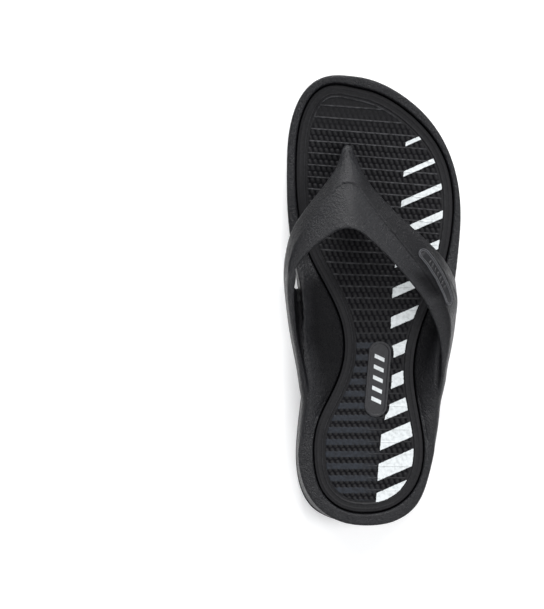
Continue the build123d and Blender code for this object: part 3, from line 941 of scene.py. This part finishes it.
def outsole():
    """The tread plate, drawn upside down as a slab and turned over, with its studs."""
    rows = Rows("outsole", OUTSOLE_SPACING)
    plate = rows.level(False, OUTSOLE_PLATE_SHARES)
    top = rows.level(True, OUTSOLE_TOP_SHARES)
    x = rows.grid(OUTSOLE_SPACING)
    y, ground, upper = (np.repeat(line[:, None], x.shape[1], axis=1) for line in (rows.y, plate, top))
    inward = edge_distance(rows.outline(), x, y)
    ground = ground + contours(x, y, inward) + rounded_edge(inward, OUTSOLE_EDGE)
    points, faces = slab(x, y, -ground, -upper)
    points[:, 2] *= -1
    faces = [face[::-1] for face in faces]
    points = points.tolist()
    for middle_x, middle_y, radius, low, high in stud_tips(rows, plate):
        root = float(np.interp(middle_y, rows.y, plate)) + STUD_ROOT
        more, shapes = stud(middle_x, middle_y, radius, 0.5 * (low + high), root)
        faces += [[corner + len(points) for corner in face] for face in shapes]
        points += more
    return make_object("outsole_rubber_sole", points, faces, sharp_angle=OUTSOLE_SHARP)


# ---- materials


class Maker:
    """A material with a chain of helpers for its nodes."""

    def __init__(self, name, roughness, specular=0.5):
        self.material = bpy.data.materials.new(name)
        self.material.use_nodes = True
        self.tree = self.material.node_tree
        self.shader = self.tree.nodes["Principled BSDF"]
        self.shader.inputs["Roughness"].default_value = roughness
        self.shader.inputs["Specular IOR Level"].default_value = specular
        self.place = self.tree.nodes.new("ShaderNodeTexCoord").outputs["Object"]
        self.normal = None

    def noise(self, scale, detail=2.0, rough=0.5, stretch=None):
        """Soft noise; scale is in waves per metre."""
        source = self.place
        if stretch:
            mapping = self.tree.nodes.new("ShaderNodeMapping")
            mapping.inputs["Scale"].default_value = stretch
            self.tree.links.new(source, mapping.inputs["Vector"])
            source = mapping.outputs["Vector"]
        node = self.tree.nodes.new("ShaderNodeTexNoise")
        node.inputs["Scale"].default_value = scale
        node.inputs["Detail"].default_value = detail
        node.inputs["Roughness"].default_value = rough
        self.tree.links.new(source, node.inputs["Vector"])
        return node.outputs["Fac"]

    def cells(self, scale):
        """Distance from scattered points."""
        node = self.tree.nodes.new("ShaderNodeTexVoronoi")
        node.inputs["Scale"].default_value = scale
        self.tree.links.new(self.place, node.inputs["Vector"])
        return node.outputs["Distance"]

    def ramp(self, value, *stops):
        """Colours at places between 0 and 1."""
        node = self.tree.nodes.new("ShaderNodeValToRGB")
        elements = node.color_ramp.elements
        while len(elements) < len(stops):
            elements.new(0.5)
        for element, (position, colour) in zip(elements, stops):
            element.position = position
            element.color = (*colour, 1.0)
        self.tree.links.new(value, node.inputs["Fac"])
        return node.outputs["Color"]

    def mix(self, share, first, second, blend="MIX"):
        node = self.tree.nodes.new("ShaderNodeMix")
        node.data_type = "RGBA"
        node.blend_type = blend
        factor, first_colour, second_colour = (node.inputs[number] for number in (0, 6, 7))
        for value, socket in ((share, factor), (first, first_colour), (second, second_colour)):
            if isinstance(value, bpy.types.NodeSocket):
                self.tree.links.new(value, socket)
            elif isinstance(value, (int, float)):
                socket.default_value = value
            else:
                socket.default_value = (*value, 1.0)
        return node.outputs[2]

    def rescale(self, value, low, high, to_low, to_high):
        node = self.tree.nodes.new("ShaderNodeMapRange")
        numbers = {"From Min": low, "From Max": high, "To Min": to_low, "To Max": to_high}
        for key, number in numbers.items():
            node.inputs[key].default_value = number
        self.tree.links.new(value, node.inputs["Value"])
        return node.outputs["Result"]

    def attribute(self, name):
        """A number that mark() stored on the mesh."""
        node = self.tree.nodes.new("ShaderNodeAttribute")
        node.attribute_name = name
        return node.outputs["Fac"]

    def bump(self, height, strength, depth):
        """Fine relief on top of any earlier one; depth is in metres."""
        node = self.tree.nodes.new("ShaderNodeBump")
        node.inputs["Strength"].default_value = strength
        node.inputs["Distance"].default_value = depth
        self.tree.links.new(height, node.inputs["Height"])
        if self.normal:
            self.tree.links.new(self.normal, node.inputs["Normal"])
        self.normal = node.outputs["Normal"]
        self.tree.links.new(self.normal, self.shader.inputs["Normal"])

    def use(self, colour=None, roughness=None):
        if colour is not None:
            self.tree.links.new(colour, self.shader.inputs["Base Color"])
        if roughness is not None:
            self.tree.links.new(roughness, self.shader.inputs["Roughness"])
        return self.material


FOAM_DARK, FOAM_LIGHT = (0.003, 0.003, 0.0038), (0.010, 0.0102, 0.0125)
# Painted shade for the hollows and the strap's front facets.
HOLLOW_SHADE_COLOUR = (0.004, 0.004, 0.0048)
BED_DARK, BED_LIGHT = (0.002, 0.002, 0.0026), (0.007, 0.0068, 0.0085)
# Painted highlight for the footbed's ribs, toe ledge and border line.
RIB_HIGHLIGHT_COLOUR = (0.045, 0.046, 0.05)
# Painted highlight for the strap pad's raised outlines.
LINE_HIGHLIGHT_COLOUR = (0.07, 0.071, 0.078)
# Painted bluish sheen on the heel's bands.
BAND_SHEEN_DARK, BAND_SHEEN_LIGHT = (0.007, 0.0085, 0.012), (0.0165, 0.020, 0.0275)
FILM_DARK, FILM_LIGHT = (0.45, 0.475, 0.48), (0.62, 0.65, 0.66)
RUBBER_DARK, RUBBER_LIGHT = (0.006, 0.006, 0.008), (0.013, 0.013, 0.016)


def foam_material():
    """Moulded foam: satin, finely pebbled, with a faint mottle, and painted shade in the hollows and on
    the strap's front facets.
    """
    m = Maker("moulded_foam", 0.5)
    colour = m.ramp(m.noise(900.0, 3.0, 0.7), (0.35, FOAM_DARK), (0.65, FOAM_LIGHT))
    colour = m.mix(m.rescale(m.noise(35.0, 3.0), 0.35, 0.65, 0.0, 0.35), colour, FOAM_LIGHT)
    # Painted shade: darker colour and less specular where the mesh marks hollows and front facets.
    hollow_shade = m.attribute("hollow_shade")
    colour = m.mix(hollow_shade, colour, HOLLOW_SHADE_COLOUR)
    m.tree.links.new(m.rescale(hollow_shade, 0.0, 1.0, 0.3, 0.1), m.shader.inputs["Specular IOR Level"])
    rough = m.rescale(m.noise(260.0, 3.0), 0.3, 0.7, 0.36, 0.5)
    m.bump(m.cells(1300.0), 0.6, 0.0003)
    m.bump(m.noise(650.0, 3.0, 0.7), 0.9, 0.0009)
    return m.use(colour, rough)


def footbed_material():
    """Footbed foam: dark and dull, with a painted bluish sheen on the heel's bands, painted highlights on
    the ribs and painted shade in the pattern's hollows.
    """
    m = Maker("footbed_foam", 0.6, 0.24)
    colour = m.ramp(m.noise(800.0, 3.0, 0.7), (0.35, BED_DARK), (0.65, BED_LIGHT))
    # Painted bluish sheen on the heel's bands; their relief and lower roughness are modelled.
    band_sheen = m.ramp(m.noise(500.0, 2.0), (0.3, BAND_SHEEN_DARK), (0.7, BAND_SHEEN_LIGHT))
    bands = m.attribute("bands")
    colour = m.mix(bands, colour, band_sheen)
    # Painted highlights on the ribs, toe ledge and border line.
    rib_highlight = m.ramp(m.noise(330.0, 3.0, 0.7), (0.4, BED_LIGHT), (0.62, RIB_HIGHLIGHT_COLOUR))
    colour = m.mix(m.attribute("ribs"), colour, rib_highlight)
    # Painted shade: less specular in the pattern's hollows.
    shine = m.rescale(m.attribute("valley"), 0.0, 1.0, 0.26, 0.05)
    m.tree.links.new(shine, m.shader.inputs["Specular IOR Level"])
    rough = m.rescale(bands, 0.0, 1.0, 0.62, 0.45)
    m.bump(m.noise(1100.0, 2.0, 0.6), 0.35, 0.0002)
    return m.use(colour, rough)


def film_material():
    """White transfer film, slightly uneven."""
    m = Maker("white_film", 0.5, 0.4)
    colour = m.ramp(m.noise(420.0, 4.0, 0.7), (0.3, FILM_DARK), (0.55, FILM_LIGHT))
    m.bump(m.noise(800.0, 3.0), 0.4, 0.0002)
    return m.use(colour)


def rubber_material():
    """Ground rubber: dull, with fine scuffs."""
    m = Maker("ground_rubber", 0.6, 0.45)
    colour = m.ramp(m.noise(300.0, 4.0, 0.65), (0.3, RUBBER_DARK), (0.7, RUBBER_LIGHT))
    scuff = m.rescale(m.noise(90.0, 5.0, 0.75, (1.0, 0.25, 1.0)), 0.4, 0.7, 0.5, 0.72)
    m.bump(m.noise(900.0, 2.0), 0.3, 0.0002)
    return m.use(colour, scuff)


def badge_material(name, dark, light, roughness):
    m = Maker(name, roughness)
    colour = m.ramp(m.noise(600.0, 2.0), (0.3, dark), (0.7, light))
    m.bump(m.noise(1200.0, 2.0), 0.2, 0.0001)
    return m.use(colour)


def strap_badge_material():
    """The strap's foam with a painted highlight on its raised outlines."""
    m = Maker("strap_badge_foam", 0.42, 0.3)
    colour = m.ramp(m.noise(900.0, 3.0, 0.7), (0.35, FOAM_DARK), (0.65, FOAM_LIGHT))
    # Painted highlight on the raised outlines.
    colour = m.mix(m.attribute("lines"), colour, LINE_HIGHLIGHT_COLOUR)
    m.bump(m.noise(750.0, 3.0, 0.65), 0.4, 0.0004)
    return m.use(colour)


def give(piece, material):
    piece.data.materials.clear()
    piece.data.materials.append(material)


# ---- the sandal

SEED = 7


def build_sandal():
    foam = foam_material()
    field = foam_field()
    skin, parting = foam_skin(field)
    strap = settle(moulded_piece("strap_moulding", field, skin, parting), "strap_foam", "strap")
    sole = settle(moulded_piece("sole_moulding", field, skin, -parting), "sole_foam", "midsole")
    give(strap, foam)
    give(sole, foam)
    pad = settle(strap_badge(field, skin), "strap_foam", "strap_badge")
    give(pad, strap_badge_material())

    bed = Footbed()
    insert = settle(bed.build(), "footbed_foam", "footbed")
    give(insert, footbed_material())
    white = film_material()
    chance = np.random.default_rng(SEED)
    for name in sorted(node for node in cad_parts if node.startswith("film_stripe")):
        stripe = settle(film(name, bed, chance), "white_film", name)
        give(stripe, white)
    badge = settle(softened("footbed_badge", BADGE_VOXEL, BADGE_SOFTEN, "footbed_badge_pad"),
                   "badge_rubber", "footbed_badge")
    give(badge, badge_material("badge_rubber", RUBBER_DARK, RUBBER_LIGHT, 0.5))
    motif = settle(softened("badge_motif", MOTIF_VOXEL, MOTIF_SOFTEN, "badge_motif_print"),
                   "white_film", "badge_motif")
    give(motif, white)

    ground = settle(outsole(), "outsole_rubber", "outsole")
    give(ground, rubber_material())


# ---- room and camera

CAMERA_PLACE = (-0.0625, -0.0026, 2.0)  # metres
LENS = 210.0
SENSOR = 36.0
# Place, width and height of each soft light in metres, and its power in watts.
SOFT_LIGHTS = {
    "toe_light": ((0.1, 1.8, 2.0), (3.2, 0.8), 42.0),
    "front_light": ((-0.1, 2.1, 0.7), (0.7, 0.6), 58.0),
    "top_light": ((0.6, -0.1, 2.6), (0.9, 1.0), 7.0),
    "right_light": ((1.4, -0.1, 2.0), (0.7, 1.6), 22.0),
    "left_light": ((-1.8, 0.0, 1.6), (0.8, 1.4), 5.0),
    "heel_light": ((0.2, -1.6, 1.7), (1.6, 0.8), 18.0),
}
SKY_COLOUR = (0.9, 0.93, 1.0, 1.0)
SKY_STRENGTH = 0.2
PAPER_COLOUR = (0.92, 0.92, 0.92, 1.0)
PAPER_GLOW_COLOUR = (1.0, 1.0, 1.0, 1.0)
PAPER_GLOW = 0.22
FLOOR_REACH = 3000
FLOOR_LEVEL = -0.2  # just clear of the studs
AIM = Vector((0.0, 0.0, 0.02))  # metres


def soft_light(name, place, size, power):
    light = bpy.data.lights.new(name, "AREA")
    light.shape = "RECTANGLE"
    light.size, light.size_y = size
    light.energy = power
    holder = bpy.data.objects.new(name, light)
    holder.location = place
    holder.rotation_euler = (AIM - Vector(place)).to_track_quat("-Z", "Y").to_euler()
    bpy.context.scene.collection.objects.link(holder)


def build_room():
    square = ((-1, -1), (1, -1), (1, 1), (-1, 1))
    corners = [(FLOOR_REACH * x, FLOOR_REACH * y, FLOOR_LEVEL) for x, y in square]
    floor = make_object("floor", corners, [[0, 1, 2, 3]], smooth=False)
    paper = Maker("paper", 0.9, 0.2)
    paper.shader.inputs["Base Color"].default_value = PAPER_COLOUR
    paper.shader.inputs["Emission Color"].default_value = PAPER_GLOW_COLOUR
    paper.shader.inputs["Emission Strength"].default_value = PAPER_GLOW
    give(floor, paper.material)
    for name, light in SOFT_LIGHTS.items():
        soft_light(name, *light)
    world = bpy.data.worlds.new("studio")
    world.use_nodes = True
    background = world.node_tree.nodes["Background"]
    background.inputs["Color"].default_value = SKY_COLOUR
    background.inputs["Strength"].default_value = SKY_STRENGTH
    bpy.context.scene.world = world
    bpy.context.scene.view_settings.view_transform = "Standard"


def build_camera():
    lens = bpy.data.cameras.new("camera")
    lens.sensor_fit = "HORIZONTAL"
    lens.sensor_width = SENSOR
    lens.lens = LENS
    holder = bpy.data.objects.new("camera", lens)
    holder.location = CAMERA_PLACE
    bpy.context.scene.collection.objects.link(holder)
    bpy.context.scene.camera = holder


build_sandal()
build_room()
build_camera()
